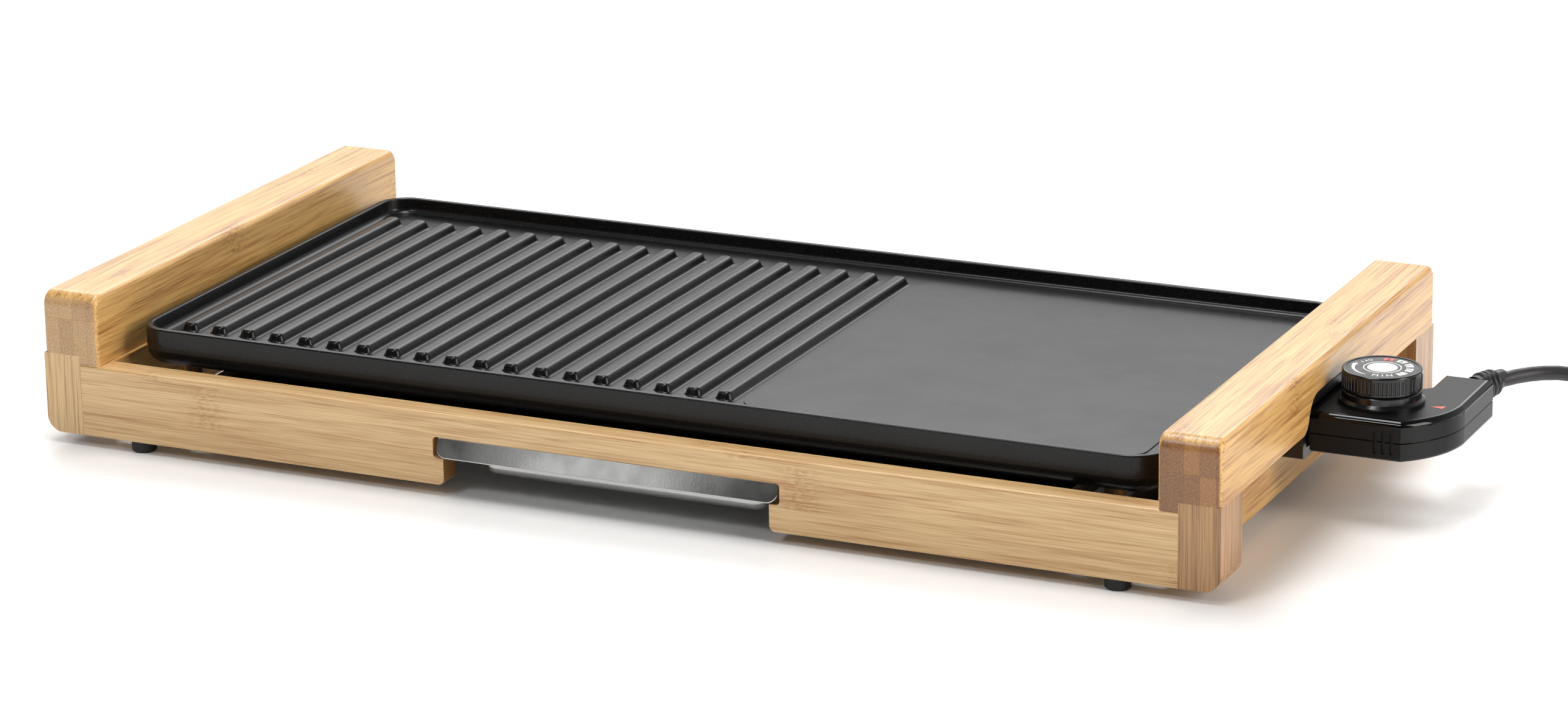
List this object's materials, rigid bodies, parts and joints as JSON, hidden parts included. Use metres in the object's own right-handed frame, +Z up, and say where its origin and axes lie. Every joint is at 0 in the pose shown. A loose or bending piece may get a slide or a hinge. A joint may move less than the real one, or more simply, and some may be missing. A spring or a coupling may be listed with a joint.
{
  "type": "electric griddle",
  "caption": "Rectangular electric griddle: black part-ribbed plate in a bamboo frame, with a front steel drip tray and a plug-in thermostat with dial and mains cord.",
  "frame": {"origin": "centre of the object's outline without the free cord, on the surface the rubber feet stand on", "axes": "+X along the griddle's length towards the thermostat, +Y towards the back, away from the drip tray, +Z up"},
  "size_m": [0.8628, 0.298, 0.0755],
  "materials": {
    "bamboo": "satin",
    "foot_rubber": "matte",
    "zinc_steel": "satin",
    "spacer_steel": "satin",
    "nonstick_plate": "satin",
    "element_steel": "satin",
    "insulator": "matte",
    "socket_black": "satin",
    "shield_steel": "satin",
    "tray_steel": "polished",
    "housing_black": "gloss",
    "pointer_red": "gloss",
    "contact_brass": "satin",
    "cord_plastic": "matte",
    "tie_black": "matte"
  },
  "bodies": {
    "base": {"left_top_beam": "bamboo", "right_top_beam": "bamboo", "front_left_post": "bamboo", "rear_left_post": "bamboo", "front_right_post": "bamboo", "rear_right_post": "bamboo", "front_rail": "bamboo", "rear_rail": "bamboo", "left_end_rail": "bamboo", "right_end_rail": "bamboo", "frame_dowels": "bamboo", "rubber_feet": "foot_rubber", "foot_screws": "zinc_steel", "left_cross_bar": "zinc_steel", "right_cross_bar": "zinc_steel", "rail_screws": "zinc_steel", "plate_spacers": "spacer_steel", "spacer_bolts": "zinc_steel", "griddle_plate": "nonstick_plate", "heating_element": "element_steel", "terminal_pins": "element_steel", "terminal_insulators": "insulator", "socket_shroud": "socket_black", "socket_screws": "zinc_steel", "heat_shield": "shield_steel", "left_tray_runner": "zinc_steel", "right_tray_runner": "zinc_steel"},
    "drip_tray": {"drip_tray": "tray_steel"},
    "thermostat": {"thermostat_lower_housing": "housing_black", "thermostat_upper_housing": "housing_black", "pointer_mark": "pointer_red", "housing_screws": "zinc_steel", "contact_sleeves": "contact_brass", "sensing_probe": "element_steel", "thermostat_switch": "housing_black", "cord_clamp": "housing_black", "dial_collar": "housing_black", "strain_relief": "cord_plastic", "cord_tube": "cord_plastic", "cord_coil": "cord_plastic", "coil_tie": "tie_black", "cord_tail": "cord_plastic", "plug_body": "cord_plastic", "plug_pins": "contact_brass"},
    "dial": {"dial_knob": "housing_black", "dial_disc": "housing_black", "dial_shaft": "housing_black"}
  },
  "joints": [
    {"name": "tray_slide", "type": "slide", "parent": "base", "child": "drip_tray", "axis": [0, -1, 0], "range_m": [0, 0.15]},
    {"name": "thermostat_pull", "type": "slide", "parent": "base", "child": "thermostat", "axis": [1, 0, 0], "range_m": [0, 0.085]},
    {"name": "dial_turn", "type": "hinge", "parent": "thermostat", "child": "dial", "pos_m": [0.293, 0.0006, 0.06], "axis": [0, 0, 1], "range_deg": [-85, 223]}
  ]
}
